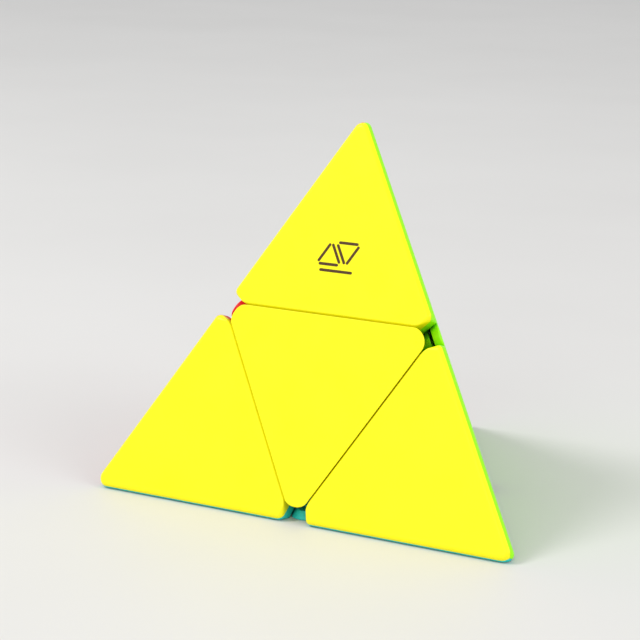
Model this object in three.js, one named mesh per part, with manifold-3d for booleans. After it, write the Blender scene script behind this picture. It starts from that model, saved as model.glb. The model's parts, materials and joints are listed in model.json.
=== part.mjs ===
// A pyramid twisty puzzle: a tetrahedron cut by three planes at right angles into four
// three-coloured corners and four one-coloured centres, held together by a hidden mechanism.
//
// Everything is modelled in the frame of the three turning axes, X, Y and Z below, with its
// origin at the middle of the puzzle. Each axis leaves the tetrahedron through the middle of an
// edge. At the end the whole puzzle is turned to stand on a face, with the origin on the table.
//
//   octant (+ + +) top corner      octant (- - -) base centre
//   octant (+ - -) right corner    octant (- + +) left centre
//   octant (- - +) left corner     octant (+ - +) front centre
//   octant (- + -) back corner     octant (+ + -) right centre

import * as THREE from "three";
import { mergeVertices } from "three/addons/utils/BufferGeometryUtils.js";
import Module from "manifold-3d";

// Driving dimensions, in millimetres.
const EDGE = 102; // edge of the sharp tetrahedron; the rounded tips make it 98 overall
const RUNNING_GAP = 0.3; // between two pieces that turn past each other
const PART_GAP = 0.3; // between two parts of one piece
const EDGE_CUT = 0.75; // flat along each edge of the tetrahedron, measured towards its middle
const VERTEX_CUT = 2.9; // flat at each of the four vertices
const WALL = 2; // wall of a corner's coloured shells
const MITRE = 0.1; // half the joint between two shells of one corner
const CORNER_TIP_CUT = 2.6; // a corner stops this far short of each edge middle
const TILE = 1.8; // thickness of a centre's coloured tile
const TILE_TIP_RADIUS = 3.1; // rounding of the tile's three tips
const GROOVE = 0.7; // open groove behind the rim of a tile
const GROOVE_DEPTH = 5; // how far the groove reaches in from the rim
const CENTRE_BODY_INSET = 0.3; // flank of a centre's body, behind the tile's flank
const CENTRE_BODY_TIP_RADIUS = 3.6;
const AXIS_CUT = 1.2; // flat on a centre's body along each turning axis

// The hidden mechanism: pieces nested in two layers between spheres about the middle.
const MECHANISM_RADIUS = 16.8;
const FOOT_RADIUS = 13; // the feet lie inside this sphere, under the layer that holds them
const CORE_CLEAR_RADIUS = 9.4;
const SLICE = 5.8; // half width of the middle slices in the holding layer
const FOOT_SLICE = 4; // and in the layer of the feet
const NECK_OVERLAP = 0.8; // how far a neck reaches into the body above it

const CORE_RADIUS = 6.2;
const ARM_RADIUS = 3;
const ARM_LENGTH = 9.1;
const SCREW_RADIUS = 1.1;
const SCREW_BORE_RADIUS = 1.35;
const SCREW_TIP = 4.6;
const SCREW_HEAD_RADIUS = 2.5;
const SCREW_HEAD_BASE = 14.9;
const SCREW_HEAD_TOP = 16.1;
const SLOT_WIDTH = 0.7;
const SLOT_DEPTH = 0.6;
const WELL_RADIUS = 2.9; // counterbore of a cap, which holds the spring and the screw's head
const WELL_FLOOR = 10.8;
const SPRING_RADIUS = 1.95;
const WIRE_RADIUS = 0.35;
const SPRING_TURNS = 3;

const BALL_SEGMENTS = 24;
const CORE_SEGMENTS = 16;
const ROUND_SEGMENTS = 16;
const TIP_SEGMENTS = 5;
const SPRING_STEPS_PER_TURN = 10;
const WIRE_SIDES = 6;
const SPAN = 160; // side of the blocks that stand for half a space

// Derived sizes.
const HALF_GAP = RUNNING_GAP / 2;
const HALF_EDGE_SPAN = EDGE / (2 * Math.SQRT2); // from the middle out to an edge's middle
const FACE_DISTANCE = HALF_EDGE_SPAN / Math.sqrt(3);
const VERTEX_DISTANCE = HALF_EDGE_SPAN * Math.sqrt(3);
const TETRA_HEIGHT = EDGE * Math.sqrt(2 / 3);

const COLOURS = {
  yellow: { color: 0xffff2a, roughness: 0.45, metalness: 0 },
  green: { color: 0x6ee60a, roughness: 0.45, metalness: 0 },
  red: { color: 0xe12a28, roughness: 0.45, metalness: 0 },
  blue: { color: 0x1eaaa0, roughness: 0.45, metalness: 0 },
  black: { color: 0x1c1c1e, roughness: 0.55, metalness: 0 },
  steel: { color: 0xb4b4b8, roughness: 0.3, metalness: 1 },
};
const MATERIALS = Object.fromEntries(
  Object.entries(COLOURS).map(([name, look]) => [name, new THREE.MeshStandardMaterial(look)]),
);

// The outward direction of each face of the tetrahedron.
const FACES = {
  yellow: new THREE.Vector3(1, -1, 1).normalize(),
  green: new THREE.Vector3(1, 1, -1).normalize(),
  red: new THREE.Vector3(-1, 1, 1).normalize(),
  blue: new THREE.Vector3(-1, -1, -1).normalize(),
};

// The six ends of the turning axes, each named after the edge that it leaves through.
const AXIS_ENDS = {
  front_right: new THREE.Vector3(1, 0, 0),
  base_left: new THREE.Vector3(-1, 0, 0),
  back: new THREE.Vector3(0, 1, 0),
  base_front: new THREE.Vector3(0, -1, 0),
  front_left: new THREE.Vector3(0, 0, 1),
  base_right: new THREE.Vector3(0, 0, -1),
};

// Each corner and each centre is a copy of the first one, given half a turn about an axis.
const HALF_TURNS = {
  none: new THREE.Quaternion(),
  x: new THREE.Quaternion().setFromAxisAngle(new THREE.Vector3(1, 0, 0), Math.PI),
  y: new THREE.Quaternion().setFromAxisAngle(new THREE.Vector3(0, 1, 0), Math.PI),
  z: new THREE.Quaternion().setFromAxisAngle(new THREE.Vector3(0, 0, 1), Math.PI),
};
const CORNERS = { top: "none", right: "x", back: "y", left: "z" };
const CENTRES = {
  base: { turn: "none", colour: "blue" },
  left: { turn: "x", colour: "red" },
  front: { turn: "y", colour: "yellow" },
  right: { turn: "z", colour: "green" },
};

const wasm = await Module();
wasm.setup();

const puzzle = new THREE.Group();

// Solids

function solidOf(geometry) {
  geometry.deleteAttribute("normal");
  geometry.deleteAttribute("uv");
  const merged = mergeVertices(geometry, 1e-4);
  const mesh = new wasm.Mesh({
    numProp: 3,
    vertProperties: merged.attributes.position.array,
    triVerts: new Uint32Array(merged.index.array),
  });
  return new wasm.Manifold(mesh);
}

function geometryOf(solid) {
  const mesh = solid.getMesh();
  const indexed = new THREE.BufferGeometry();
  indexed.setAttribute("position", new THREE.BufferAttribute(mesh.vertProperties, 3));
  indexed.setIndex(new THREE.BufferAttribute(mesh.triVerts, 1));
  const geometry = indexed.toNonIndexed();
  geometry.computeVertexNormals();
  return geometry;
}

function common(...solids) {
  return solids.reduce((a, b) => a.intersect(b));
}

function joined(...solids) {
  return solids.reduce((a, b) => a.add(b));
}

function without(solid, ...tools) {
  return tools.reduce((a, b) => a.subtract(b), solid);
}

// A box that spans the given [low, high] range along each axis.
function box(x, y, z) {
  const geometry = new THREE.BoxGeometry(x[1] - x[0], y[1] - y[0], z[1] - z[0]);
  geometry.translate((x[0] + x[1]) / 2, (y[0] + y[1]) / 2, (z[0] + z[1]) / 2);
  return solidOf(geometry);
}

// The cube of one octant, from a near distance to a far one. The sign is 1 for the octant of the
// top corner and -1 for the octant of the base centre.
function octant(near, far, sign = 1) {
  const range = sign > 0 ? [near, far] : [-far, -near];
  return box(range, range, range);
}

// All points no further than a distance along a direction.
function halfSpace(direction, distance) {
  const normal = direction.clone().normalize();
  const geometry = new THREE.BoxGeometry(SPAN, SPAN, SPAN);
  geometry.translate(0, 0, -SPAN / 2);
  geometry.applyQuaternion(
    new THREE.Quaternion().setFromUnitVectors(new THREE.Vector3(0, 0, 1), normal),
  );
  geometry.translate(normal.x * distance, normal.y * distance, normal.z * distance);
  return solidOf(geometry);
}

// A ball whose flats lie inside the true sphere.
function ball(radius, segments = BALL_SEGMENTS) {
  return solidOf(new THREE.SphereGeometry(radius, segments, segments / 2));
}

// A ball whose flats lie outside the true sphere, for cutting a hollow.
function hollow(radius) {
  return ball(radius / Math.cos(Math.PI / BALL_SEGMENTS) ** 2);
}

// A cylinder on the X axis between two distances from the middle.
function rod(radius, from, to) {
  const geometry = new THREE.CylinderGeometry(radius, radius, to - from, ROUND_SEGMENTS);
  geometry.translate(0, (from + to) / 2, 0);
  geometry.rotateZ(-Math.PI / 2);
  return solidOf(geometry);
}

// Meshes

function addMesh(name, geometry, material, quaternion = HALF_TURNS.none) {
  const mesh = new THREE.Mesh(geometry, material);
  mesh.name = name;
  mesh.quaternion.copy(quaternion);
  puzzle.add(mesh);
}

function turnTo(direction) {
  return new THREE.Quaternion().setFromUnitVectors(new THREE.Vector3(1, 0, 0), direction);
}

// The foot and the neck that hold an outer piece in the mechanism.
function foot(sign) {
  const footBlock = common(
    octant(FOOT_SLICE + HALF_GAP, FOOT_RADIUS, sign),
    ball(FOOT_RADIUS - HALF_GAP),
  );
  const neckBlock = common(
    octant(SLICE + HALF_GAP, MECHANISM_RADIUS, sign),
    ball(MECHANISM_RADIUS + NECK_OVERLAP),
  );
  return without(joined(footBlock, neckBlock), hollow(CORE_CLEAR_RADIUS));
}

// Corners

// The block of the top corner, with every side moved in by an inset.
function cornerBlock(inset) {
  const direction = (x, y, z) => new THREE.Vector3(x, y, z);
  const tipStop = -(CORNER_TIP_CUT + inset);
  return common(
    octant(HALF_GAP + inset, HALF_EDGE_SPAN - EDGE_CUT - inset),
    halfSpace(FACES.yellow, FACE_DISTANCE - inset),
    halfSpace(FACES.green, FACE_DISTANCE - inset),
    halfSpace(FACES.red, FACE_DISTANCE - inset),
    halfSpace(direction(1, 1, 1), VERTEX_DISTANCE - VERTEX_CUT - inset),
    halfSpace(direction(0, -1, -1), tipStop),
    halfSpace(direction(-1, 0, -1), tipStop),
    halfSpace(direction(-1, -1, 0), tipStop),
  );
}

// The shell of the top corner that carries its yellow facelet and the cut face below it.
function cornerShell() {
  return without(
    common(
      cornerBlock(0),
      halfSpace(new THREE.Vector3(-1, 1, 0), -MITRE),
      halfSpace(new THREE.Vector3(0, 1, -1), -MITRE),
    ),
    cornerBlock(WALL),
    hollow(MECHANISM_RADIUS + HALF_GAP),
  );
}

function cornerBody() {
  const block = without(cornerBlock(WALL + PART_GAP), hollow(MECHANISM_RADIUS + HALF_GAP));
  return joined(block, foot(1));
}

function faceColour(direction) {
  const facing = ([, normal]) => normal.dot(direction) > 0.99;
  return Object.entries(FACES).find(facing)[0];
}

function addCorners() {
  const shellGeometry = geometryOf(cornerShell());
  const bodyGeometry = geometryOf(cornerBody());
  const cornerAxis = new THREE.Vector3(1, 1, 1).normalize();
  for (const [place, turnName] of Object.entries(CORNERS)) {
    const turn = HALF_TURNS[turnName];
    addMesh(place + "_corner_body", bodyGeometry, MATERIALS.black, turn);
    for (let third = 0; third < 3; third += 1) {
      const spin = new THREE.Quaternion().setFromAxisAngle(cornerAxis, (third * 2 * Math.PI) / 3);
      const placed = turn.clone().multiply(spin);
      const colour = faceColour(FACES.yellow.clone().applyQuaternion(placed));
      addMesh(place + "_corner_" + colour + "_shell", shellGeometry, MATERIALS[colour], placed);
    }
  }
}

// Centres

// A column through the base face whose outline is the face's middle triangle with rounded tips,
// moved in by an inset.
function centreColumn(inset, tipRadius) {
  const shape = new THREE.Shape();
  const inradius = EDGE / (4 * Math.sqrt(3)) - inset;
  const tipCentre = 2 * (inradius - tipRadius);
  for (let tip = 0; tip < 3; tip += 1) {
    const middle = (tip * 2 * Math.PI) / 3;
    const x = tipCentre * Math.cos(middle);
    const y = tipCentre * Math.sin(middle);
    shape.absarc(x, y, tipRadius, middle - Math.PI / 3, middle + Math.PI / 3, false);
  }
  shape.closePath();
  const geometry = new THREE.ExtrudeGeometry(shape, {
    depth: SPAN,
    bevelEnabled: false,
    curveSegments: TIP_SEGMENTS,
  });
  const out = FACES.blue;
  const toTip = new THREE.Vector3(2, -1, -1).normalize().negate();
  const across = new THREE.Vector3().crossVectors(out, toTip);
  geometry.applyMatrix4(new THREE.Matrix4().makeBasis(toTip, across, out));
  return solidOf(geometry);
}

function centreTile() {
  const seamInset = HALF_GAP / Math.sin(Math.acos(1 / Math.sqrt(3)));
  return common(
    octant(HALF_GAP, HALF_EDGE_SPAN, -1),
    halfSpace(FACES.blue, FACE_DISTANCE),
    halfSpace(FACES.blue.clone().negate(), TILE - FACE_DISTANCE),
    centreColumn(seamInset, TILE_TIP_RADIUS),
  );
}

// The body under a tile. Its middle comes up to the tile; its rim stays lower and leaves a groove.
function centreBody() {
  const flank = HALF_GAP + CENTRE_BODY_INSET;
  const rim = common(
    octant(flank, HALF_EDGE_SPAN, -1),
    halfSpace(FACES.blue, FACE_DISTANCE - TILE - GROOVE),
    halfSpace(new THREE.Vector3(0, 1, 1), -AXIS_CUT),
    halfSpace(new THREE.Vector3(1, 0, 1), -AXIS_CUT),
    halfSpace(new THREE.Vector3(1, 1, 0), -AXIS_CUT),
    centreColumn(flank, CENTRE_BODY_TIP_RADIUS),
  );
  const middle = common(
    octant(flank, HALF_EDGE_SPAN, -1),
    halfSpace(FACES.blue, FACE_DISTANCE - TILE - PART_GAP),
    centreColumn(GROOVE_DEPTH, TILE_TIP_RADIUS),
  );
  const block = without(joined(rim, middle), hollow(MECHANISM_RADIUS + HALF_GAP));
  return joined(block, foot(-1));
}

function addCentres() {
  const tileGeometry = geometryOf(centreTile());
  const bodyGeometry = geometryOf(centreBody());
  for (const [place, { turn, colour }] of Object.entries(CENTRES)) {
    addMesh(place + "_centre_tile", tileGeometry, MATERIALS[colour], HALF_TURNS[turn]);
    addMesh(place + "_centre_body", bodyGeometry, MATERIALS[colour], HALF_TURNS[turn]);
  }
}

// Mechanism

function core() {
  const arms = Object.values(AXIS_ENDS).map((direction) => {
    const arm = rod(ARM_RADIUS, 0, ARM_LENGTH);
    return arm.transform(new THREE.Matrix4().makeRotationFromQuaternion(turnTo(direction)).elements);
  });
  const bores = Object.values(AXIS_ENDS).map((direction) => {
    const bore = rod(SCREW_BORE_RADIUS, SCREW_TIP - PART_GAP, ARM_LENGTH + 1);
    return bore.transform(new THREE.Matrix4().makeRotationFromQuaternion(turnTo(direction)).elements);
  });
  return without(joined(ball(CORE_RADIUS, CORE_SEGMENTS), ...arms), ...bores);
}

// A cap on the +X axis: a square plate with a square stem, bored for its screw and spring.
function axisCap() {
  const wide = SLICE - HALF_GAP;
  const narrow = FOOT_SLICE - HALF_GAP;
  const plate = without(
    box([FOOT_SLICE, SPAN / 2], [-wide, wide], [-wide, wide]),
    hollow(FOOT_RADIUS + HALF_GAP),
  );
  const stem = box([CORE_CLEAR_RADIUS, MECHANISM_RADIUS], [-narrow, narrow], [-narrow, narrow]);
  return without(
    common(joined(plate, stem), ball(MECHANISM_RADIUS - HALF_GAP)),
    rod(SCREW_BORE_RADIUS, 0, SPAN / 2),
    rod(WELL_RADIUS, WELL_FLOOR, SPAN / 2),
  );
}

// A screw on the +X axis, with a slotted head.
function screw() {
  const profile = [
    [0, SCREW_TIP],
    [SCREW_RADIUS, SCREW_TIP],
    [SCREW_RADIUS, SCREW_HEAD_BASE],
    [SCREW_HEAD_RADIUS, SCREW_HEAD_BASE],
    [SCREW_HEAD_RADIUS, SCREW_HEAD_TOP],
    [0, SCREW_HEAD_TOP],
  ].map(([radius, height]) => new THREE.Vector2(radius, height));
  const geometry = new THREE.LatheGeometry(profile, ROUND_SEGMENTS);
  geometry.rotateZ(-Math.PI / 2);
  const halfSlot = SLOT_WIDTH / 2;
  const slotRange = [SCREW_HEAD_TOP - SLOT_DEPTH, SPAN / 2];
  const slot = box(slotRange, [-halfSlot, halfSlot], [-SPAN / 2, SPAN / 2]);
  return without(solidOf(geometry), slot);
}

class SpringCurve extends THREE.Curve {
  getPoint(t, target = new THREE.Vector3()) {
    const angle = t * SPRING_TURNS * 2 * Math.PI;
    const start = WELL_FLOOR + WIRE_RADIUS + PART_GAP / 2;
    const end = SCREW_HEAD_BASE - WIRE_RADIUS - PART_GAP / 2;
    const along = start + t * (end - start);
    return target.set(along, SPRING_RADIUS * Math.cos(angle), SPRING_RADIUS * Math.sin(angle));
  }
}

function springGeometry() {
  const section = new THREE.Shape();
  for (let side = 0; side < WIRE_SIDES; side += 1) {
    const angle = (side * 2 * Math.PI) / WIRE_SIDES;
    const x = WIRE_RADIUS * Math.cos(angle);
    const y = WIRE_RADIUS * Math.sin(angle);
    if (side === 0) section.moveTo(x, y);
    else section.lineTo(x, y);
  }
  section.closePath();
  return new THREE.ExtrudeGeometry(section, {
    steps: SPRING_TURNS * SPRING_STEPS_PER_TURN,
    extrudePath: new SpringCurve(),
  });
}

// The inner edge of octants (+ + +) and (+ + -): it fills the middle slice between two caps.
function innerEdge() {
  const wide = SLICE - HALF_GAP;
  const narrow = FOOT_SLICE - HALF_GAP;
  const far = [SLICE + HALF_GAP, MECHANISM_RADIUS];
  const footFar = [FOOT_SLICE + HALF_GAP, FOOT_RADIUS];
  const plate = without(box(far, far, [-wide, wide]), hollow(FOOT_RADIUS + HALF_GAP));
  const neck = box(far, far, [-narrow, narrow]);
  const edgeFoot = common(box(footFar, footFar, [-narrow, narrow]), ball(FOOT_RADIUS - HALF_GAP));
  return without(
    common(joined(plate, neck, edgeFoot), ball(MECHANISM_RADIUS - HALF_GAP)),
    hollow(CORE_CLEAR_RADIUS),
  );
}

function axisEndName(direction) {
  const facing = ([, end]) => end.dot(direction) > 0.99;
  return Object.entries(AXIS_ENDS).find(facing)[0];
}

function addInnerEdges() {
  const geometry = geometryOf(innerEdge());
  const cycleAxis = new THREE.Vector3(1, 1, 1).normalize();
  const zAxis = new THREE.Vector3(0, 0, 1);
  for (let cycle = 0; cycle < 3; cycle += 1) {
    for (let quarter = 0; quarter < 4; quarter += 1) {
      const spin = new THREE.Quaternion().setFromAxisAngle(zAxis, (quarter * Math.PI) / 2);
      const placed = new THREE.Quaternion().setFromAxisAngle(cycleAxis, (cycle * 2 * Math.PI) / 3);
      placed.multiply(spin);
      const first = axisEndName(new THREE.Vector3(1, 0, 0).applyQuaternion(placed));
      const second = axisEndName(new THREE.Vector3(0, 1, 0).applyQuaternion(placed));
      addMesh("inner_edge_" + first + "_to_" + second, geometry, MATERIALS.black, placed);
    }
  }
}

function addMechanism() {
  addMesh("core", geometryOf(core()), MATERIALS.black);
  const cap = geometryOf(axisCap());
  const fastener = geometryOf(screw());
  const spring = springGeometry();
  for (const [place, direction] of Object.entries(AXIS_ENDS)) {
    const turn = turnTo(direction);
    addMesh("cap_" + place, cap, MATERIALS.black, turn);
    addMesh("screw_" + place, fastener, MATERIALS.steel, turn);
    addMesh("spring_" + place, spring, MATERIALS.steel, turn);
  }
  addInnerEdges();
}

addCorners();
addCentres();
addMechanism();

// Stand the puzzle on its base face: X points at the front right edge, Y at the back edge and Z
// at the front left edge, each as high above the middle as the others.
const level = Math.sqrt(2 / 3);
const rise = Math.sqrt(1 / 3);
const axisAt = (degrees) => {
  const angle = THREE.MathUtils.degToRad(degrees);
  return new THREE.Vector3(level * Math.cos(angle), level * Math.sin(angle), rise);
};
puzzle.quaternion.setFromRotationMatrix(
  new THREE.Matrix4().makeBasis(axisAt(-30), axisAt(90), axisAt(210)),
);
puzzle.position.set(0, 0, TETRA_HEIGHT / 4);

const part = new THREE.Group();
part.add(puzzle);

export default part;
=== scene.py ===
"""The pyramid twisty puzzle, dressed around its CAD frame.

Every piece is rebuilt as a fine mesh with rounded edges, in the space of the CAD node that it
stands for, and gets a procedural material. A printed mark is added on the front.

Shapes are made in the frame of the three turning axes, in millimetres, with the middle of the
puzzle as its origin. In that frame the top corner fills the octant where x, y and z are positive,
and the base centre the octant where they are negative. to_world() takes a shape to its place.
"""

import json
import math

import bmesh
import bpy
from mathutils import Matrix, Vector


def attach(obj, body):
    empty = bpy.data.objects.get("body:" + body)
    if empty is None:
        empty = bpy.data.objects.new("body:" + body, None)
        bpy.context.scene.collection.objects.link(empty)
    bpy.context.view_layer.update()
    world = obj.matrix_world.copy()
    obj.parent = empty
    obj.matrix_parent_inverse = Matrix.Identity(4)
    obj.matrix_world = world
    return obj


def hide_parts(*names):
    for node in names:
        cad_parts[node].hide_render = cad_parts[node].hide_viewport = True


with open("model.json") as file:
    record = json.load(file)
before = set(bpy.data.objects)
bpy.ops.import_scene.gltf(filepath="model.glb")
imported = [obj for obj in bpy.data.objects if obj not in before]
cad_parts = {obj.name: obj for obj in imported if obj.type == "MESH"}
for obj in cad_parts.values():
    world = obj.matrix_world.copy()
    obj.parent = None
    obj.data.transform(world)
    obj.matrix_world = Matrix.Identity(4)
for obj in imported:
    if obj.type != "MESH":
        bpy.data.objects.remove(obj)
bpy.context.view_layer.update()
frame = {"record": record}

# What the record says of each node.
BODIES = frame["record"]["behaviour"]["bodies"]
NODE_BODIES = {node: body for body, nodes in BODIES.items() for node in nodes}

# The frame's own geometry: the middle of the puzzle, its turning axes and its size.
JOINTS = {joint["name"]: joint for joint in frame["record"]["behaviour"]["joints"]}
MIDDLE = Vector(JOINTS["right_turn"]["pos_m"])
TURNING_AXES = [Vector(JOINTS[name]["axis"]) for name in ("right_turn", "back_turn", "left_turn")]
MM = 0.001
FACE_DISTANCE = MIDDLE.z / MM  # from the middle out to each face
HALF_SPAN = FACE_DISTANCE * math.sqrt(3)  # from the middle out to the middle of an edge
VERTEX_DISTANCE = HALF_SPAN * math.sqrt(3)
EDGE = HALF_SPAN * 2 * math.sqrt(2)  # the length of an edge of the sharp tetrahedron
DIAGONAL = Vector((1, 1, 1)).normalized()
VERTEX = DIAGONAL * VERTEX_DISTANCE

# Outer pieces, in millimetres.
HALF_GAP = 0.15  # half the gap between pieces that turn past each other
PART_GAP = 0.3  # between parts of one piece
MITRE = 0.02  # half the joint between two shells of one corner
WALL = 2.0  # thickness of a shell
EDGE_CUT = 0.75  # the space inside the shells has its edges cut flat by this much
VERTEX_CUT = 2.9  # and its vertex
TIP_CUT = 2.6  # a corner stops this far short of each edge middle
TIP_WALL_END = 13.0  # about how far from the puzzle's middle the wall of a cut tip ends
EDGE_ROUNDING = 1.4
VERTEX_ROUNDING = 2.1  # as seen from the front of a face
SEAM_ROUNDING = 0.35
OBTUSE_ROUNDING = 3.0  # where a facelet's seam turns into its cut tip
TILE = 1.8  # thickness of a centre's tile
TILE_TIP_RADIUS = 3.1
TILE_RIM = 0.14  # rounding along the sharp rim of a tile
TILE_TIP_RIM = 0.35  # and round its tips
GROOVE = 0.7  # width of the groove behind a tile
GROOVE_DEPTH = 5.0  # how far in from the sides of a centre's triangle it runs
BODY_INSET = 0.3  # a centre's body stands this much further in than its tile
BODY_TIP_RADIUS = 3.6
BODY_RIM = 0.25  # rounding of its rim
AXIS_CUT = 1.2  # a centre's body stops this far short of each turning axis

# The mechanism, in millimetres. Distances along an axis are from the puzzle's middle.
MECHANISM_RADIUS = 16.8
FOOT_RADIUS = 13.0
CORE_CLEAR_RADIUS = 9.4
SLICE = 5.8  # half the width of a middle slice in the outer, holding layer
FOOT_SLICE = 4.0  # and in the inner layer, of the feet
NECK_OVERLAP = 0.8  # how far the neck of an outer piece runs on into its body
PLATE_OVERLAP = 2.0  # how far a cap's stem or an inner edge's neck runs on into its plate
OVERRUN = 5.0  # how far a column of a centre runs on behind its tile, or past the middle
OVERCUT = 1.0  # how far a cutting tool stands out of what it cuts
PIECE_ROUNDING = 0.25
CORE_RADIUS = 6.2
ARM_RADIUS = 3.0
ARM_LENGTH = 9.1
ARM_ROUNDING = 0.4
BORE_RADIUS = 1.35
WELL_RADIUS = 2.9
WELL_FLOOR = 10.8
SCREW_TIP = 4.6
SCREW_RADIUS = 1.1
POINT_SHARE = 0.6  # radius of the screw's very end, as a share of SCREW_RADIUS
POINT_TAPER = 0.3  # how much the thread narrows towards the point
THREAD_END = 10.4
THREAD_PITCH = 0.5
THREAD_DEPTH = 0.16
HEAD_RADIUS = 2.5
HEAD_BASE = 14.9
HEAD_TOP = 16.1
HEAD_FILLET = 0.2  # between the shank and the head
HEAD_CHAMFER = 0.1  # round the head's underside
DOME_HEIGHT = 0.5  # of the rounding round the head's top
DOME_INSET = 0.8
SLOT_WIDTH = 0.7
SLOT_DEPTH = 0.6
SPRING_RADIUS = 1.95
WIRE_RADIUS = 0.33
SPRING_TURNS = 3
SPRING_EASE = 0.6  # share by which the coils close up at the ends and open in the middle

# A plain geometric mark printed on the top front facelet, in millimetres.
MARK_DROP = 2.0  # below the middle of the facelet
MARK_SIDE = 5.5  # of a triangle
MARK_BAR = 0.6  # width of a bar
MARK_GAP = 0.45  # between the ends of the bars and the triangle's own corners
MARK_APART = 1.0
MARK_BELOW = 1.4  # length of the bar below, in sides of a triangle
MARK_THICKNESS = 0.03
MARK_BEVEL = 0.03

# How finely curves are divided.
BALL_SEGMENTS = 96
CORE_SEGMENTS = 64
SURFACE_RINGS = 64  # over the round surface of a foot, neck, cap or inner edge
RIM_STEPS = 120  # places along its rim
RIM_RINGS = 6  # of the small ball at each place
EDGE_RINGS = 18  # of the small balls that round an outer edge
SEAM_RINGS = 12  # and a seam or a tile's rim
FILLET_STEPS = 8
COLUMN_STEPS = 24
TILE_TIP_STEPS = 16
ROD_SIDES = 48
ROD_END_STEPS = 4
SCREW_SIDES = 32
THREAD_RINGS = 8  # in one turn of the thread
POINT_RINGS = 6
DOME_STEPS = 6
COIL_STEPS = 40  # in one turn of a spring
WIRE_SIDES = 12
BAR_END_STEPS = 12
BEVEL_SEGMENTS = 3

FLAT_ANGLE = math.radians(0.3)  # faces closer to flat than this become one
SHARP_ANGLE = math.radians(34)  # an edge sharper than this is shaded as an edge
SAME_POINT = 1e-4  # points closer than this many millimetres become one
ROUND_OFF = 1e-6  # millimetres by which a point may pass a plane and count as inside
SAME_WAY = 0.999  # cosine of the angle within which two directions count as one
PARALLEL = 0.1  # sine of the angle below which two planes count as parallel

# The camera stands where the photo's did, as fitted to the puzzle's seams and edges.
CAMERA_PLACE = (0.20083, -0.38584, 0.13849)  # metres
CAMERA_AZIMUTH = 28.642  # degrees round from the front, to the right
CAMERA_ELEVATION = 13.088
CAMERA_ROLL = 0.755
CAMERA_LENS = 117.7  # millimetres
CAMERA_SENSOR = 36
CAMERA_NEAR = 0.01  # metres

# The studio: each light's place and width in metres, and its power in watts.
LIGHTS = {
    "key": ((-0.85, -0.6, 1.2), 0.5, 11),
    "front": ((0.15, -1.35, 0.55), 0.8, 4),
    "right": ((1.2, -0.25, 0.6), 0.8, 5),
}
SURROUND_COLOUR = (0.97, 0.98, 1, 1)
SURROUND_STRENGTH = 0.75
FLOOR_REACH = 4  # metres, from its middle to its sides

# Colours, as linear amounts of red, green and blue.
PLASTIC_COLOURS = {
    "yellow": (0.95, 0.88, 0.003),
    "green": (0.35, 0.97, 0.003),
    "red": (0.78, 0.014, 0.016),
    "blue": (0.03, 0.6, 0.54),
    "black": (0.014, 0.014, 0.015),
}
INK_COLOUR = (0.075, 0.032, 0.006)
STEEL_COLOUR = (0.62, 0.62, 0.64)
STEEL_STAIN = (0.42, 0.41, 0.4)
FLOOR_COLOURS = ((0.66, 0.65, 0.63), (0.69, 0.68, 0.66))

PLASTIC_ROUGHNESS = 0.4
PLASTIC_SPECULAR = 0.3
PLASTIC_TRANSLUCENCY = 0.05
LIGHT_REACH = 0.0012  # metres that light gets into the plastic
LIGHT_REACH_SHARES = (1.0, 1.0, 0.6)  # of that, for red, green and blue
INK_ROUGHNESS = 0.5
STEEL_ROUGHNESS = (0.2, 0.42)  # in the smoothest and the roughest streaks
FLOOR_ROUGHNESS = 0.6

# Sizes of the patterns in the plastic, the steel and the floor, as noise scales, per metre.
CLOUDS = 55
SMUDGES = 120
STAINS = 700
SPECKLE = 2600
GRAIN = 5200
HAIRLINES = (5200, 140, 260)
HAIRLINE_TURNS = ((0.3, 0.2, 0.1), (1.1, 0.4, 2.0), (2.2, 1.3, 0.7))  # radians
STEEL_STREAKS = (6000, 900, 900)
FLOOR_TONES = 6

# The values of a noise that a pattern runs between.
USUAL_RANGE = (0.3, 0.7)
CLOUD_RANGE = (0.35, 0.65)
STAIN_RANGE = (0.4, 0.7)
HAIRLINE_RANGE = (0.69, 0.75)

# How strongly the patterns show. Depths are in metres.
CLOUD_SHADE = 0.96  # of the colour, where the clouds are darkest
SPECK_SHADE = 0.92  # of the colour, in a speck
SPECK_STRENGTH = 0.35
GLOSS_CHANGES = (-0.05, 0.07)  # to the roughness, by the smudges
HAIRLINE_ROUGHNESS = 0.1  # added to it on a hairline
GRAIN_DEPTH = 0.00002
GRAIN_STRENGTH = 0.35
HAIRLINE_DEPTH = 0.00001
HAIRLINE_STRENGTH = 0.3
STREAK_DEPTH = 0.00001
STREAK_STRENGTH = 0.4

# Each face's outward normal, in the axes' frame.
FACES = {
    "yellow": Vector((1, -1, 1)).normalized(),
    "green": Vector((1, 1, -1)).normalized(),
    "red": Vector((-1, 1, 1)).normalized(),
    "blue": Vector((-1, -1, -1)).normalized(),
}
TOP_FACES = ("yellow", "green", "red")  # the faces that meet at the top vertex

# A half turn about one axis takes the top corner, or the base centre, to each other place.
HALF_TURNS = {
    axis: Matrix.Rotation(math.pi, 4, axis) if axis else Matrix.Identity(4) for axis in ("", *"XYZ")
}
CORNERS = {"top": "", "right": "X", "back": "Y", "left": "Z"}
CENTRES = {
    "base": ("", "blue"),
    "left": ("X", "red"),
    "front": ("Y", "yellow"),
    "right": ("Z", "green"),
}
AXIS_ENDS = {
    "front_right": Vector((1, 0, 0)),
    "base_left": Vector((-1, 0, 0)),
    "back": Vector((0, 1, 0)),
    "base_front": Vector((0, -1, 0)),
    "front_left": Vector((0, 0, 1)),
    "base_right": Vector((0, 0, -1)),
}


def to_world():
    """The matrix from the axes' frame, in millimetres, to the model's frame, in metres."""
    turn = Matrix(TURNING_AXES).transposed().to_4x4()
    return Matrix.Translation(MIDDLE) @ turn @ Matrix.Scale(MM, 4)


# Points


def axis_vector(axis, value):
    vector = Vector()
    vector[axis] = value
    return vector


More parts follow.
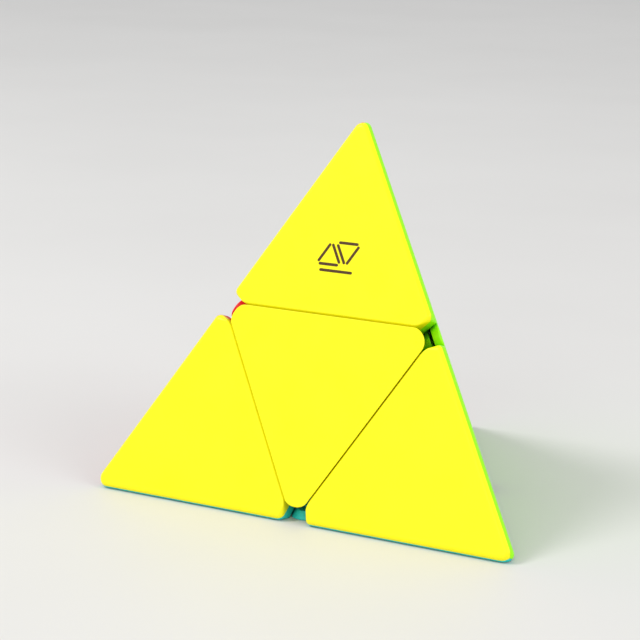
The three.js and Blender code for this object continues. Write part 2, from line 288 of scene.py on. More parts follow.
def planes_point(planes):
    """The point where three planes meet, each given as (normal, distance)."""
    rows = Matrix([normal for normal, _ in planes])
    return rows.inverted() @ Vector([distance for _, distance in planes])


def moved_in(planes, inset):
    """Planes given as (outward normal, distance), all moved towards the middle."""
    return [(normal, distance - inset) for normal, distance in planes]


def is_inside(point, planes):
    return all(normal.dot(point) <= distance + ROUND_OFF for normal, distance in planes)


def ball_points(middle, radius, rings):
    points = []
    for ring in range(rings + 1):
        polar = math.pi * ring / rings
        count = 1 if ring in (0, rings) else rings * 2
        for step in range(count):
            around = 2 * math.pi * step / count
            x = math.sin(polar) * math.cos(around)
            y = math.sin(polar) * math.sin(around)
            points.append(middle + Vector((x, y, math.cos(polar))) * radius)
    return points


def fillet_points(corner, toward_a, toward_b, radius):
    """Points on the arc that rounds a corner between two directions that leave it."""
    half = toward_a.angle(toward_b) / 2
    back = radius / math.tan(half)
    middle = corner + (toward_a + toward_b).normalized() * (radius / math.sin(half))
    start = corner + toward_a * back - middle
    end = corner + toward_b * back - middle
    points = []
    for step in range(FILLET_STEPS + 1):
        points.append(middle + start.slerp(end, step / FILLET_STEPS).normalized() * radius)
    return points


def ring_points(along, radius, sides):
    """A circle round the X axis."""
    angles = [2 * math.pi * side / sides for side in range(sides)]
    return [Vector((along, radius * math.cos(angle), radius * math.sin(angle))) for angle in angles]


# Meshes


def merge_flats(bm):
    bmesh.ops.dissolve_limit(bm, angle_limit=FLAT_ANGLE, verts=bm.verts, edges=bm.edges)
    bmesh.ops.recalc_face_normals(bm, faces=bm.faces)


def hull(points):
    """The convex hull of some points, with its flat faces whole."""
    bm = bmesh.new()
    for point in points:
        bm.verts.new(point)
    result = bmesh.ops.convex_hull(bm, input=bm.verts)
    left_over = set(result["geom_interior"] + result["geom_unused"])
    inner = [item for item in left_over if isinstance(item, bmesh.types.BMVert)]
    bmesh.ops.delete(bm, geom=inner, context="VERTS")
    merge_flats(bm)
    return bm


def loft(rings):
    """A closed solid through rings of points, each ring with the same number of them."""
    bm = bmesh.new()
    rows = [[bm.verts.new(point) for point in ring] for ring in rings]
    for near, far in zip(rows, rows[1:]):
        for step, vert in enumerate(near):
            bm.faces.new((near[step - 1], vert, far[step], far[step - 1]))
    bm.faces.new(rows[0])
    bm.faces.new(rows[-1])
    bmesh.ops.recalc_face_normals(bm, faces=bm.faces)
    return bm


def box(low, high):
    bm = bmesh.new()
    bmesh.ops.create_cube(bm, size=1)
    low, high = Vector(low), Vector(high)
    bmesh.ops.scale(bm, vec=high - low, verts=bm.verts)
    bmesh.ops.translate(bm, vec=(low + high) / 2, verts=bm.verts)
    return bm


def cut(bm, planes):
    """Keeps the part of a convex solid that lies inside every plane."""
    for normal, distance in planes:
        geometry = bm.verts[:] + bm.edges[:] + bm.faces[:]
        bmesh.ops.bisect_plane(
            bm, geom=geometry, plane_co=normal * distance, plane_no=normal, clear_outer=True
        )
        open_edges = [edge for edge in bm.edges if edge.is_boundary]
        if open_edges:
            bmesh.ops.holes_fill(bm, edges=open_edges, sides=0)
    bmesh.ops.recalc_face_normals(bm, faces=bm.faces)


def round_edges(bm, width, facing=None):
    """Rounds the edges of a solid, or only those of the faces that look along a direction."""
    edges = bm.edges[:]
    if facing:
        edges = [edge for edge in edges if borders(edge, facing)]
    bmesh.ops.bevel(
        bm, geom=edges, offset=width, segments=BEVEL_SEGMENTS, profile=0.5, affect="EDGES"
    )


def borders(edge, facing):
    """Whether an edge belongs to a face that looks along a direction."""
    return any(face.normal.dot(facing) > SAME_WAY for face in edge.link_faces)


def ball(radius, segments=BALL_SEGMENTS):
    bm = bmesh.new()
    bmesh.ops.create_uvsphere(bm, u_segments=segments, v_segments=segments // 2, radius=radius)
    return bm


def rod(radius, start, end, rounding=0.0):
    """A cylinder on the X axis, whose far end may be rounded."""
    rings = [ring_points(start, radius, ROD_SIDES)]
    for step in range(ROD_END_STEPS + 1 if rounding else 1):
        angle = math.pi / 2 * step / ROD_END_STEPS
        along = end - rounding * (1 - math.sin(angle))
        rings.append(ring_points(along, radius - rounding * (1 - math.cos(angle)), ROD_SIDES))
    return loft(rings)


def turned(bm, matrix):
    bm.transform(matrix)
    return bm


def combine(solid, *steps):
    """Adds or takes away solids, one after another. The solids are used up."""
    objects = []
    for bm in [solid, *(tool for _, tool in steps)]:
        mesh = bpy.data.meshes.new("combine")
        bm.to_mesh(mesh)
        bm.free()
        objects.append(bpy.data.objects.new("combine", mesh))
        bpy.context.scene.collection.objects.link(objects[-1])
    for (operation, _), tool in zip(steps, objects[1:]):
        modifier = objects[0].modifiers.new("combine", "BOOLEAN")
        modifier.operation = operation
        modifier.solver = "MANIFOLD"
        modifier.object = tool
    bpy.context.view_layer.update()
    depsgraph = bpy.context.evaluated_depsgraph_get()
    result = bmesh.new()
    result.from_object(objects[0], depsgraph)
    for item in objects:
        mesh = item.data
        bpy.data.objects.remove(item)
        bpy.data.meshes.remove(mesh)
    bmesh.ops.remove_doubles(result, verts=result.verts, dist=SAME_POINT)
    merge_flats(result)
    return result


def finished(bm, name):
    """A shape as a smooth-shaded mesh in millimetres, ready to be placed."""
    mesh = bpy.data.meshes.new(name)
    bm.to_mesh(mesh)
    bm.free()
    for polygon in mesh.polygons:
        polygon.use_smooth = True
    mesh.set_sharp_from_angle(angle=SHARP_ANGLE)
    return mesh


def add_piece(name, mesh, matrix, body, material):
    """One visible piece: a copy of a shape in its place, which moves with a body of the frame."""
    copy = mesh.copy()
    copy.name = name
    copy.transform(to_world() @ matrix)
    copy.materials.append(material)
    piece = bpy.data.objects.new(name, copy)
    bpy.context.scene.collection.objects.link(piece)
    weighted = piece.modifiers.new("even_flats", "WEIGHTED_NORMAL")
    weighted.keep_sharp = True
    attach(piece, body)
    return piece


def replace_node(node, mesh, matrix, material):
    """Puts a finer piece in the place of a CAD node, on the same body and with the material given,
    and hides the node.
    """
    name = f"{node}_fine"
    piece = add_piece(name, mesh, matrix, NODE_BODIES[node], material)
    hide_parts(node)


# Feet and necks, which hold the outer pieces in the mechanism


def rim_centres(inset, reach):
    """Where small balls lie that round the rim between some planes and a ball of a radius."""
    centres = []
    for index, (normal, distance) in enumerate(inset):
        side = normal.orthogonal().normalized()
        circle = math.sqrt(max(reach ** 2 - distance ** 2, 0))
        for step in range(RIM_STEPS):
            spoke = Matrix.Rotation(2 * math.pi * step / RIM_STEPS, 3, normal) @ side
            centres.append(normal * distance + spoke * circle)
        for other_normal, other_distance in inset[:index]:
            ridge = normal.cross(other_normal)
            if ridge.length < PARALLEL:
                continue
            ridge.normalize()
            nearest = planes_point(
                [(normal, distance), (other_normal, other_distance), (ridge, 0)]
            )
            along = math.sqrt(max(reach ** 2 - nearest.length_squared, 0))
            centres += [nearest + ridge * along, nearest - ridge * along]
    return [centre for centre in centres if is_inside(centre, inset)]


def sphere_region(planes, radius):
    """The part of a ball inside some planes, with a rounded edge where they meet its surface."""
    points = []
    for centre in rim_centres(moved_in(planes, PIECE_ROUNDING), radius - PIECE_ROUNDING):
        points += ball_points(centre, PIECE_ROUNDING, RIM_RINGS)
    surface = ball_points(Vector(), radius, SURFACE_RINGS)
    well_inside = moved_in(planes, 2 * PIECE_ROUNDING)
    points += [point for point in surface if is_inside(point, well_inside)]
    return points


def octant_planes(near, sign):
    """The three planes that bound an octant, moved out from the middle to a near distance."""
    return [(axis_vector(axis, -sign), -near) for axis in range(3)]


def foot(sign):
    """The foot and the neck of a corner (sign 1) or of a centre (sign -1)."""
    foot_near = FOOT_SLICE + HALF_GAP
    neck_near = SLICE + HALF_GAP
    foot_corner = Vector((1, 1, 1)) * sign * foot_near
    neck_corner = Vector((1, 1, 1)) * sign * neck_near
    foot_points = sphere_region(octant_planes(foot_near, sign), FOOT_RADIUS - HALF_GAP)
    neck_points = sphere_region(octant_planes(neck_near, sign), MECHANISM_RADIUS + NECK_OVERLAP)
    return combine(
        hull([*foot_points, foot_corner]),
        ("UNION", hull([*neck_points, neck_corner])),
        ("DIFFERENCE", ball(CORE_CLEAR_RADIUS)),
    )


# Corners


def tip_plane(end):
    """The plane that cuts the top corner short of one axis end: (outward normal, distance)."""
    outward = Vector((-1, -1, -1))
    outward[end] = 0
    return outward.normalized(), -TIP_CUT


def corner_planes(inset):
    """The planes that bound the top corner, moved in by an inset."""
    planes = [(FACES[face], FACE_DISTANCE) for face in TOP_FACES]
    planes.append((DIAGONAL, VERTEX_DISTANCE - VERTEX_CUT))
    for axis in range(3):
        planes.append((axis_vector(axis, -1), -HALF_GAP))
        planes.append((axis_vector(axis, 1), HALF_SPAN - EDGE_CUT))
        planes.append(tip_plane(axis))
    return moved_in(planes, inset)


def vertex_points(face):
    """The rounding of the top corner's vertex, as one of its faces shows it."""
    planes = [(FACES[other], FACE_DISTANCE) for other in TOP_FACES]
    corner = planes_point(moved_in(planes, EDGE_ROUNDING))
    edges = []
    for other in TOP_FACES:
        if other != face:
            along = FACES[face].cross(FACES[other]).normalized()
            edges.append(along if along.dot(VERTEX) < 0 else -along)
    points = []
    for middle in fillet_points(corner, *edges, VERTEX_ROUNDING - EDGE_ROUNDING):
        points += ball_points(middle, EDGE_ROUNDING, EDGE_RINGS)
    return points


def edge_tip_points(end, faces):
    """The rounded end of an edge of the top corner."""
    planes = [(FACES[face], FACE_DISTANCE) for face in faces]
    middle = planes_point(moved_in([*planes, tip_plane(end)], EDGE_ROUNDING))
    return ball_points(middle, EDGE_ROUNDING, EDGE_RINGS)


def seam_tip_points(end, face):
    """Where a facelet's seam turns into its cut tip, and the walls below it."""
    side = next(axis for axis in range(3) if FACES[face][axis] < 0)
    seam = axis_vector(side, -1)
    planes = [(FACES[face], FACE_DISTANCE), (seam, -HALF_GAP), tip_plane(end)]
    corner = planes_point(moved_in(planes, SEAM_ROUNDING))
    along_seam = FACES[face].cross(seam).normalized()
    if along_seam[end] > 0:
        along_seam.negate()
    along_tip = FACES[face].cross(tip_plane(end)[0]).normalized()
    if along_tip.dot(VERTEX - corner) < 0:
        along_tip.negate()
    depth = axis_vector(end, HALF_SPAN - TIP_WALL_END)
    points = []
    for middle in fillet_points(corner, along_seam, along_tip, OBTUSE_ROUNDING - SEAM_ROUNDING):
        points += ball_points(middle, SEAM_ROUNDING, SEAM_RINGS)
        points += ball_points(middle - depth, SEAM_ROUNDING, SEAM_RINGS)
    return points


def corner_outside():
    """The outside of the top corner, all three facelets of it, as one solid."""
    points = []
    for end in range(3):
        faces = [face for face in TOP_FACES if FACES[face][end] > 0]
        points += edge_tip_points(end, faces)
        for face in faces:
            points += seam_tip_points(end, face)
    for face in TOP_FACES:
        points += vertex_points(face)
    return hull(points)


def corner_shell():
    """The shell of the top corner that carries its yellow facelet and the walls behind it."""
    outer = corner_outside()
    mitres = [Vector((-1, 1, 0)).normalized(), Vector((0, 1, -1)).normalized()]
    cut(outer, [(normal, -MITRE) for normal in mitres])
    cavity = box([0] * 3, [HALF_SPAN] * 3)
    cut(cavity, corner_planes(WALL))
    return combine(
        outer, ("DIFFERENCE", cavity), ("DIFFERENCE", ball(MECHANISM_RADIUS + HALF_GAP))
    )


def corner_body():
    """What fills the top corner's shells, with its neck and foot."""
    block = box([0] * 3, [HALF_SPAN] * 3)
    cut(block, corner_planes(WALL + PART_GAP))
    round_edges(block, PIECE_ROUNDING)
    hollow = ball(MECHANISM_RADIUS + HALF_GAP)
    return combine(block, ("DIFFERENCE", hollow), ("UNION", foot(1)))


def face_towards(direction):
    """The colour of the face that looks most nearly along a direction."""
    return max(FACES, key=lambda colour: FACES[colour].dot(direction))


def add_corners(plastics):
    shell = finished(corner_shell(), "corner_shell")
    body = finished(corner_body(), "corner_body")
    for place, axis in CORNERS.items():
        replace_node(f"{place}_corner_body", body, HALF_TURNS[axis], plastics["black"])
        for third in range(3):
            matrix = HALF_TURNS[axis] @ Matrix.Rotation(third * 2 * math.pi / 3, 4, DIAGONAL)
            colour = face_towards(matrix.to_3x3() @ FACES["yellow"])
            replace_node(f"{place}_corner_{colour}_shell", shell, matrix, plastics[colour])


# Centres


def on_base(x, y, depth):
    """A point behind the base face: x runs from the face's middle to one tip of the centre."""
    out = FACES["blue"]
    to_tip = Vector((-2, 1, 1)).normalized()
    return to_tip * x + out.cross(to_tip) * y + out * (FACE_DISTANCE - depth)


def tip_reach(inset, tip_radius):
    """How far from the middle of a centre's triangle the middle of its rounded tip lies."""
    return 2 * (EDGE / (4 * math.sqrt(3)) - inset - tip_radius)


def tip_point(tip, reach, out, angle, depth):
    """A point round one tip of the centre's triangle, at a distance out from the tip's middle."""
    middle = tip * 2 * math.pi / 3
    x = reach * math.cos(middle) + out * math.cos(middle + angle)
    y = reach * math.sin(middle) + out * math.sin(middle + angle)
    return on_base(x, y, depth)


def column(inset, tip_radius, top, bottom):
    """A prism behind the base face, with the outline of a centre with rounded tips."""
    reach = tip_reach(inset, tip_radius)
    steps = range(COLUMN_STEPS + 1)
    angles = [math.pi / 3 * (2 * step / COLUMN_STEPS - 1) for step in steps]
    rings = []
    for depth in (top, bottom):
        ring = []
        for tip in range(3):
            ring += [tip_point(tip, reach, tip_radius, angle, depth) for angle in angles]
        rings.append(ring)
    return loft(rings)


def tile_tip_points(tip):
    """One tip of a tile: its rounded rim, and the foot of the flank that slopes in behind it."""
    seam_slope = math.sqrt(2)  # depth over width of a flank
    seam_angle = math.atan(seam_slope)  # between the face and a flank
    reach = tip_reach(HALF_GAP / math.sin(seam_angle), TILE_TIP_RADIUS)
    points = []
    for step in range(-TILE_TIP_STEPS, TILE_TIP_STEPS + 1):
        angle = math.pi / 3 * step / TILE_TIP_STEPS
        # TILE_TIP_RIM in the middle of the tip, and TILE_RIM at both its ends.
        rim = TILE_RIM + (TILE_TIP_RIM - TILE_RIM) * math.cos(1.5 * angle) ** 2
        out = TILE_TIP_RADIUS - rim / math.tan(seam_angle / 2)
        points += ball_points(tip_point(tip, reach, out, angle, rim), rim, SEAM_RINGS)
        points.append(tip_point(tip, reach, TILE_TIP_RADIUS - TILE / seam_slope, angle, TILE))
    return points


def centre_tile():
    return hull([point for tip in range(3) for point in tile_tip_points(tip)])


def centre_body():
    """The body under a tile. Its middle comes up to the tile; its rim stays lower."""
    flank = HALF_GAP + BODY_INSET
    octant = octant_planes(flank, -1)
    flats = []
    for axis in range(3):
        outward = Vector((1, 1, 1))
        outward[axis] = 0
        flats.append((outward.normalized(), -AXIS_CUT))
    rim = column(flank, BODY_TIP_RADIUS, TILE + GROOVE, FACE_DISTANCE + OVERRUN)
    cut(rim, octant + flats)
    round_edges(rim, BODY_RIM, facing=FACES["blue"])
    middle = column(GROOVE_DEPTH, TILE_TIP_RADIUS, TILE + PART_GAP, TILE + OVERRUN)
    return combine(
        rim,
        ("UNION", middle),
        ("DIFFERENCE", ball(MECHANISM_RADIUS + HALF_GAP)),
        ("UNION", foot(-1)),
    )


def add_centres(plastics):
    tile = finished(centre_tile(), "centre_tile")
    body = finished(centre_body(), "centre_body")
    for place, (axis, colour) in CENTRES.items():
        replace_node(f"{place}_centre_tile", tile, HALF_TURNS[axis], plastics[colour])
        replace_node(f"{place}_centre_body", body, HALF_TURNS[axis], plastics[colour])


# Mechanism


def core():
    """A ball with an arm on each end of each axis, bored for the screws."""
    steps = []
    for direction in AXIS_ENDS.values():
        arm = rod(ARM_RADIUS, 0, ARM_LENGTH, ARM_ROUNDING)
        steps.append(("UNION", turned(arm, turn_to(direction))))
    for direction in AXIS_ENDS.values():
        bore = rod(BORE_RADIUS, SCREW_TIP - PART_GAP, ARM_LENGTH + OVERCUT)
        steps.append(("DIFFERENCE", turned(bore, turn_to(direction))))
    return combine(ball(CORE_RADIUS, CORE_SEGMENTS), *steps)


def turn_to(direction):
    """The rotation that takes the +X axis to a direction."""
    return Vector((1, 0, 0)).rotation_difference(direction).to_matrix().to_4x4()


def slice_planes(half_width, axes):
    """The two sides of a middle slice, about each of some axes."""
    return [(axis_vector(axis, sign), half_width) for axis in axes for sign in (1, -1)]


def axis_cap():
    """A cap on the +X axis: a square plate with a square stem, bored for its screw and spring."""
    wide = SLICE - HALF_GAP
    narrow = FOOT_SLICE - HALF_GAP
    reach = MECHANISM_RADIUS - HALF_GAP
    planes = [*slice_planes(wide, (1, 2)), (Vector((-1, 0, 0)), -FOOT_SLICE)]
    base = [Vector((FOOT_SLICE, y, z)) for y in (-wide, wide) for z in (-wide, wide)]
    stem_end = FOOT_RADIUS + PLATE_OVERLAP
    stem = box((CORE_CLEAR_RADIUS, -narrow, -narrow), (stem_end, narrow, narrow))
    round_edges(stem, PIECE_ROUNDING)
    return combine(
        hull([*sphere_region(planes, reach), *base]),
        ("DIFFERENCE", ball(FOOT_RADIUS + HALF_GAP)),
        ("UNION", stem),
        ("DIFFERENCE", rod(BORE_RADIUS, 0, 2 * reach)),
        ("DIFFERENCE", rod(WELL_RADIUS, WELL_FLOOR, 2 * reach)),
    )


def edge_block(near, half_width, radius):
    """The part of a ball between two axes: x and y beyond a near plane, z in a middle slice."""
    planes = [*slice_planes(half_width, (2,)), *octant_planes(near, 1)[:2]]
    corners = [Vector((near, near, z)) for z in (-half_width, half_width)]
    return hull([*sphere_region(planes, radius), *corners])


def inner_edge():
    """The inner edge between the +X and +Y axes: a plate, a neck and a foot."""
    wide = SLICE - HALF_GAP
    narrow = FOOT_SLICE - HALF_GAP
    plate_near = SLICE + HALF_GAP
    foot_near = FOOT_SLICE + HALF_GAP
    plate = edge_block(plate_near, wide, MECHANISM_RADIUS - HALF_GAP)
    return combine(
        plate,
        ("DIFFERENCE", ball(FOOT_RADIUS + HALF_GAP)),
        ("UNION", edge_block(plate_near, narrow, FOOT_RADIUS + PLATE_OVERLAP)),
        ("UNION", edge_block(foot_near, narrow, FOOT_RADIUS - HALF_GAP)),
        ("DIFFERENCE", ball(CORE_CLEAR_RADIUS)),
    )


def thread_rings():
    """The threaded part of a screw, from its tapered point to where the thread runs out."""
    rings = [ring_points(SCREW_TIP, SCREW_RADIUS * POINT_SHARE, SCREW_SIDES)]
    count = round((THREAD_END - SCREW_TIP) / THREAD_PITCH * THREAD_RINGS)
    for step in range(1, count + 1):
        along = SCREW_TIP + (THREAD_END - SCREW_TIP) * step / count
        depth = THREAD_DEPTH * min(1, (count - step) / THREAD_RINGS)
        taper = POINT_TAPER * max(0, 1 - step / POINT_RINGS)
        ring = []
        for side in range(SCREW_SIDES):
            phase = 2 * math.pi * (along / THREAD_PITCH - side / SCREW_SIDES)
            radius = SCREW_RADIUS - taper - depth * (0.5 - 0.5 * math.cos(phase))
            angle = 2 * math.pi * side / SCREW_SIDES
            ring.append(Vector((along, radius * math.cos(angle), radius * math.sin(angle))))
        rings.append(ring)
    return rings


def head_rings():
    """The end of a screw's plain shank and its pan head."""
    profile = [
        (HEAD_BASE - HEAD_FILLET, SCREW_RADIUS),
        (HEAD_BASE, SCREW_RADIUS + HEAD_FILLET),
        (HEAD_BASE, HEAD_RADIUS - HEAD_CHAMFER),
        (HEAD_BASE + HEAD_CHAMFER, HEAD_RADIUS),
    ]
    for step in range(DOME_STEPS + 1):
        angle = math.pi / 2 * step / DOME_STEPS
        along = HEAD_TOP - DOME_HEIGHT * (1 - math.sin(angle))
        profile.append((along, HEAD_RADIUS - DOME_INSET * (1 - math.cos(angle))))
    return [ring_points(along, radius, SCREW_SIDES) for along, radius in profile]


def screw():
    """A screw on the +X axis, with a thread and a slotted pan head."""
    half = SLOT_WIDTH / 2
    across = 2 * HEAD_RADIUS
    slot = box((HEAD_TOP - SLOT_DEPTH, -half, -across), (HEAD_TOP + OVERCUT, half, across))
    return combine(loft(thread_rings() + head_rings()), ("DIFFERENCE", slot))


def spring():
    """A coil spring on the +X axis, whose end coils lie closer than the middle ones."""
    start = WELL_FLOOR + WIRE_RADIUS + PART_GAP / 2
    span = HEAD_BASE - WIRE_RADIUS - PART_GAP / 2 - start
    up = Vector((1, 0, 0))
    steps = SPRING_TURNS * COIL_STEPS
    rings = []
    for step in range(steps + 1):
        share = step / steps
        angle = share * SPRING_TURNS * 2 * math.pi
        along = start + span * (share - SPRING_EASE * math.sin(2 * math.pi * share) / (2 * math.pi))
        out = Vector((0, math.cos(angle), math.sin(angle)))
        centre = up * along + out * SPRING_RADIUS
        ring = []
        for side in range(WIRE_SIDES):
            turn = 2 * math.pi * side / WIRE_SIDES
            ring.append(centre + (out * math.cos(turn) + up * math.sin(turn)) * WIRE_RADIUS)
        rings.append(ring)
    return loft(rings)


def end_name(direction):
    """The name of the axis end that a direction points to."""
    return max(AXIS_ENDS, key=lambda name: AXIS_ENDS[name].dot(direction))


def add_inner_edges(material):
    """Four inner edges about the Z axis, then the same about the other two axes."""
    mesh = finished(inner_edge(), "inner_edge")
    for cycle in range(3):
        for quarter in range(4):
            matrix = Matrix.Rotation(cycle * 2 * math.pi / 3, 4, DIAGONAL)
            matrix = matrix @ Matrix.Rotation(quarter * math.pi / 2, 4, "Z")
            rotation = matrix.to_3x3()
            first = end_name(rotation @ Vector((1, 0, 0)))
            second = end_name(rotation @ Vector((0, 1, 0)))
            replace_node(f"inner_edge_{first}_to_{second}", mesh, matrix, material)


def add_mechanism(black, steel):
    replace_node("core", finished(core(), "core"), Matrix.Identity(4), black)
    add_inner_edges(black)
    cap_mesh = finished(axis_cap(), "cap")
    screw_mesh = finished(screw(), "screw")
    spring_mesh = finished(spring(), "spring")
    for place, direction in AXIS_ENDS.items():
        matrix = turn_to(direction)
        replace_node(f"cap_{place}", cap_mesh, matrix, black)
        replace_node(f"screw_{place}", screw_mesh, matrix, steel)
        replace_node(f"spring_{place}", spring_mesh, matrix, steel)


# The printed mark


def bar_rings(middle, along, across, length, width):
    """A flat printed bar with round ends on the yellow face, as rings from its foot to its top."""
    out = FACES["yellow"]
    levels = (
        (-MARK_THICKNESS, 0),
        (MARK_THICKNESS / 2, 0),
        (MARK_THICKNESS, MARK_BEVEL),
    )
    rings = []
    for height, inset in levels:
        ring = []
        for end in (1, -1):
            for step in range(BAR_END_STEPS + 1):
                angle = math.pi * (step / BAR_END_STEPS - 0.5)
                round_end = along * math.cos(angle) + across * math.sin(angle)
                offset = round_end * (width / 2 - inset) + along * (length - width) / 2
                ring.append(middle + offset * end + out * height)
        rings.append(ring)
    return rings


def mark_bars(middle, right, up, out):
    """Two triangles side by side, one upside down, and a bar below them.

    Each bar is given as (middle, along, across, length).
    """
    inradius = MARK_SIDE / (2 * math.sqrt(3))
    half_height = 1.5 * inradius
    apart = (MARK_APART + half_height) / math.cos(math.pi / 6)
    bars = []
    for sign in (1, -1):
        centre = middle - (right * apart + up * inradius) * sign / 2
        for side in range(3):
            turn = Matrix.Rotation(side * 2 * math.pi / 3, 3, out)
            side_middle = centre - turn @ up * inradius * sign
            bars.append((side_middle, turn @ right, turn @ up, MARK_SIDE - 2 * MARK_GAP))
    below = middle - up * (half_height + MARK_APART + MARK_BAR / 2)
    bars.append((below, right, up, MARK_SIDE * MARK_BELOW))
    return bars


def add_mark(ink):
    """The mark, on the front facelet of the top corner."""
    out = FACES["yellow"]
    facelet = [VERTEX, Vector((HALF_SPAN, 0, 0)), Vector((0, 0, HALF_SPAN))]
    centroid = sum(facelet, Vector()) / 3
    up = (VERTEX - centroid).normalized()
    right = up.cross(out)
    bm = bmesh.new()
    for middle, along, across, length in mark_bars(centroid - up * MARK_DROP, right, up, out):
        part = bpy.data.meshes.new("bar")
        solid = loft(bar_rings(middle, along, across, length, MARK_BAR))
        solid.to_mesh(part)
        solid.free()
        bm.from_mesh(part)
        bpy.data.meshes.remove(part)
    mesh = finished(bm, "mark")
    add_piece("top_corner_mark", mesh, Matrix.Identity(4), "top_corner", ink)


# Materials


class Finish:
    """A material and the few node patterns that its look is made of."""

    def __init__(self, name):
        self.material = bpy.data.materials.new(name)
        self.material.use_nodes = True
        self.nodes = self.material.node_tree.nodes
        self.links = self.material.node_tree.links
        self.shader = self.nodes["Principled BSDF"]
        self.place = self.nodes.new("ShaderNodeTexCoord").outputs["Object"]

    def link(self, output, socket):
        self.links.new(output, socket)

    def stretched(self, scale, rotation=(0, 0, 0)):
        """The object's coordinates, turned and scaled by axis."""
        node = self.nodes.new("ShaderNodeMapping")
        node.inputs["Scale"].default_value = scale
        node.inputs["Rotation"].default_value = rotation
        self.link(self.place, node.inputs["Vector"])
        return node.outputs["Vector"]

    def noise(self, scale, detail, roughness=0.5, vector=None):
        node = self.nodes.new("ShaderNodeTexNoise")
        node.inputs["Scale"].default_value = scale
        node.inputs["Detail"].default_value = detail
        node.inputs["Roughness"].default_value = roughness
        self.link(vector or self.place, node.inputs["Vector"])
        return node.outputs["Fac"]

    def ranged(self, value, from_range, to_range):
        """A value taken from one range to another, and held inside it."""
        node = self.nodes.new("ShaderNodeMapRange")
        node.inputs["From Min"].default_value = from_range[0]
        node.inputs["From Max"].default_value = from_range[1]
        node.inputs["To Min"].default_value = to_range[0]
        node.inputs["To Max"].default_value = to_range[1]
        self.link(value, node.inputs["Value"])
        return node.outputs["Result"]

    def math(self, operation, first, second):
        """A sum, product or such of two values, each a number or another node's output."""
        node = self.nodes.new("ShaderNodeMath")
        node.operation = operation
        for value, socket in zip((first, second), node.inputs):
            if isinstance(value, (int, float)):
                socket.default_value = value
            else:
                self.link(value, socket)
        return node.outputs["Value"]

    def blend(self, factor, first, second):
        """A mix of two colours, each three numbers or another node's output."""
        node = self.nodes.new("ShaderNodeMix")
        node.data_type = "RGBA"
        self.link(factor, node.inputs["Factor"])
        for name, colour in (("A", first), ("B", second)):
            if isinstance(colour, tuple):
                node.inputs[name].default_value = (*colour, 1)
            else:
                self.link(colour, node.inputs[name])
        return node.outputs["Result"]

    def scratches(self):
        """Fine hairlines in three directions, 1 on a hairline and 0 beside it."""
        hairlines = None
        for turn in HAIRLINE_TURNS:
            place = self.stretched(HAIRLINES, turn)
            streaks = self.noise(1, detail=3, roughness=0.6, vector=place)
            one = self.ranged(streaks, HAIRLINE_RANGE, (0, 1))
            hairlines = one if hairlines is None else self.math("MAXIMUM", hairlines, one)
        return hairlines

    def bump(self, height, distance, strength, normal=None):
        """A height pattern, a distance in metres deep, on top of another bump if one is given."""
        node = self.nodes.new("ShaderNodeBump")
        node.inputs["Distance"].default_value = distance
        node.inputs["Strength"].default_value = strength
        self.link(height, node.inputs["Height"])
        if normal:
            self.link(normal, node.inputs["Normal"])
        return node.outputs["Normal"]


def shaded(colour, factor):
    """A colour made darker."""
    return tuple(channel * factor for channel in colour)


def plastic(name, colour, roughness=PLASTIC_ROUGHNESS, translucency=PLASTIC_TRANSLUCENCY):
    """Moulded plastic: spark-eroded grain, a little unevenness, faint hairlines from use."""
    finish = Finish(name)
    shader = finish.shader
    shader.inputs["Specular IOR Level"].default_value = PLASTIC_SPECULAR
    shader.inputs["Subsurface Weight"].default_value = translucency
    shader.inputs["Subsurface Radius"].default_value = LIGHT_REACH_SHARES
    shader.inputs["Subsurface Scale"].default_value = LIGHT_REACH

    clouds = finish.ranged(finish.noise(CLOUDS, detail=3), CLOUD_RANGE, (0, 1))
    speckle = finish.ranged(finish.noise(SPECKLE, detail=2), USUAL_RANGE, (0, 1))
    tone = finish.blend(clouds, shaded(colour, CLOUD_SHADE), colour)
    specks = finish.math("MULTIPLY", speckle, SPECK_STRENGTH)
    dusted = finish.blend(specks, tone, shaded(colour, SPECK_SHADE))
    finish.link(dusted, shader.inputs["Base Color"])

    hairlines = finish.scratches()
    gloss_range = [roughness + change for change in GLOSS_CHANGES]
    smears = finish.noise(SMUDGES, detail=5, roughness=0.65)
    smudges = finish.ranged(smears, USUAL_RANGE, gloss_range)
    scuffs = finish.math("MULTIPLY", hairlines, HAIRLINE_ROUGHNESS)
    finish.link(finish.math("ADD", smudges, scuffs), shader.inputs["Roughness"])

    grain_height = finish.noise(GRAIN, detail=3, roughness=0.6)
    grain = finish.bump(grain_height, GRAIN_DEPTH, GRAIN_STRENGTH)
    worn_height = finish.math("SUBTRACT", 1, hairlines)
    worn = finish.bump(worn_height, HAIRLINE_DEPTH, HAIRLINE_STRENGTH, grain)
    finish.link(worn, shader.inputs["Normal"])
    return finish.material


def spring_steel(name):
    """Drawn and turned steel: fine streaks in gloss and tone, a little darkening."""
    finish = Finish(name)
    shader = finish.shader
    shader.inputs["Metallic"].default_value = 1
    place = finish.stretched(STEEL_STREAKS)
    streaks = finish.noise(1, detail=4, roughness=0.6, vector=place)
    stains = finish.ranged(finish.noise(STAINS, detail=4), STAIN_RANGE, (0, 1))
    tone = finish.blend(stains, STEEL_COLOUR, STEEL_STAIN)
    finish.link(tone, shader.inputs["Base Color"])
    gloss = finish.ranged(streaks, USUAL_RANGE, STEEL_ROUGHNESS)
    finish.link(gloss, shader.inputs["Roughness"])
    finish.link(finish.bump(streaks, STREAK_DEPTH, STREAK_STRENGTH), shader.inputs["Normal"])
    return finish.material


def pale_floor():
    """Matt and pale, with a very slight change of tone."""
    finish = Finish("pale_floor")
    shader = finish.shader
    tone = finish.ranged(finish.noise(FLOOR_TONES, detail=4), USUAL_RANGE, (0, 1))
    finish.link(finish.blend(tone, *FLOOR_COLOURS), shader.inputs["Base Color"])
    shader.inputs["Roughness"].default_value = FLOOR_ROUGHNESS
    return finish.material


# Stage


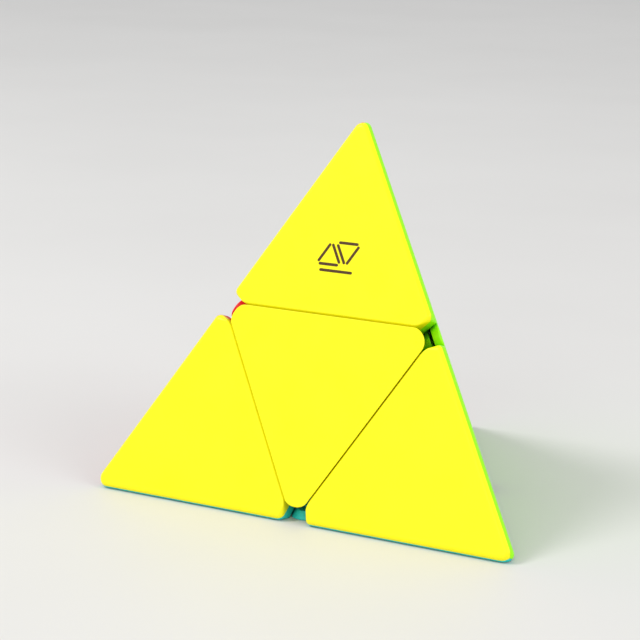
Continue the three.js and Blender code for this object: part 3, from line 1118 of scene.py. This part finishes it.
def add_floor():
    bm = bmesh.new()
    bmesh.ops.create_grid(bm, x_segments=1, y_segments=1, size=FLOOR_REACH)
    mesh = bpy.data.meshes.new("floor")
    bm.to_mesh(mesh)
    bm.free()
    mesh.materials.append(pale_floor())
    floor = bpy.data.objects.new("floor", mesh)
    bpy.context.scene.collection.objects.link(floor)


def add_light(name, position, width, power):
    """A round soft light that points at the middle of the puzzle."""
    data = bpy.data.lights.new(name, "AREA")
    data.shape = "DISK"
    data.size = width
    data.energy = power
    light = bpy.data.objects.new(name, data)
    bpy.context.scene.collection.objects.link(light)
    light.location = position
    light.rotation_euler = (MIDDLE - Vector(position)).to_track_quat("-Z", "Y").to_euler()


def add_lights():
    for name, (position, width, power) in LIGHTS.items():
        add_light(name, position, width, power)
    world = bpy.data.worlds.new("studio")
    world.use_nodes = True
    background = world.node_tree.nodes["Background"]
    background.inputs["Color"].default_value = SURROUND_COLOUR
    background.inputs["Strength"].default_value = SURROUND_STRENGTH
    bpy.context.scene.world = world
    bpy.context.scene.view_settings.view_transform = "Standard"


def add_camera():
    """The camera stands front right of the puzzle and a little above it."""
    data = bpy.data.cameras.new("camera")
    data.sensor_width = CAMERA_SENSOR
    data.lens = CAMERA_LENS
    data.clip_start = CAMERA_NEAR
    camera = bpy.data.objects.new("camera", data)
    bpy.context.scene.collection.objects.link(camera)
    azimuth = math.radians(CAMERA_AZIMUTH)
    elevation = math.radians(CAMERA_ELEVATION)
    level = math.cos(elevation)
    back = Vector((math.sin(azimuth) * level, -math.cos(azimuth) * level, math.sin(elevation)))
    roll = Matrix.Rotation(math.radians(CAMERA_ROLL), 3, "Z")
    camera.location = CAMERA_PLACE
    camera.rotation_euler = (back.to_track_quat("Z", "Y").to_matrix() @ roll).to_euler()
    bpy.context.scene.camera = camera


def main():
    """Makes every piece, the floor, the lights and the camera."""
    plastics = {}
    for name, colour in PLASTIC_COLOURS.items():
        plastics[name] = plastic(f"{name}_plastic_fine", colour)
    steel = spring_steel("steel_fine")
    ink = plastic("print_ink", INK_COLOUR, roughness=INK_ROUGHNESS, translucency=0)
    add_corners(plastics)
    add_centres(plastics)
    add_mechanism(plastics["black"], steel)
    add_mark(ink)
    add_floor()
    add_lights()
    add_camera()


main()
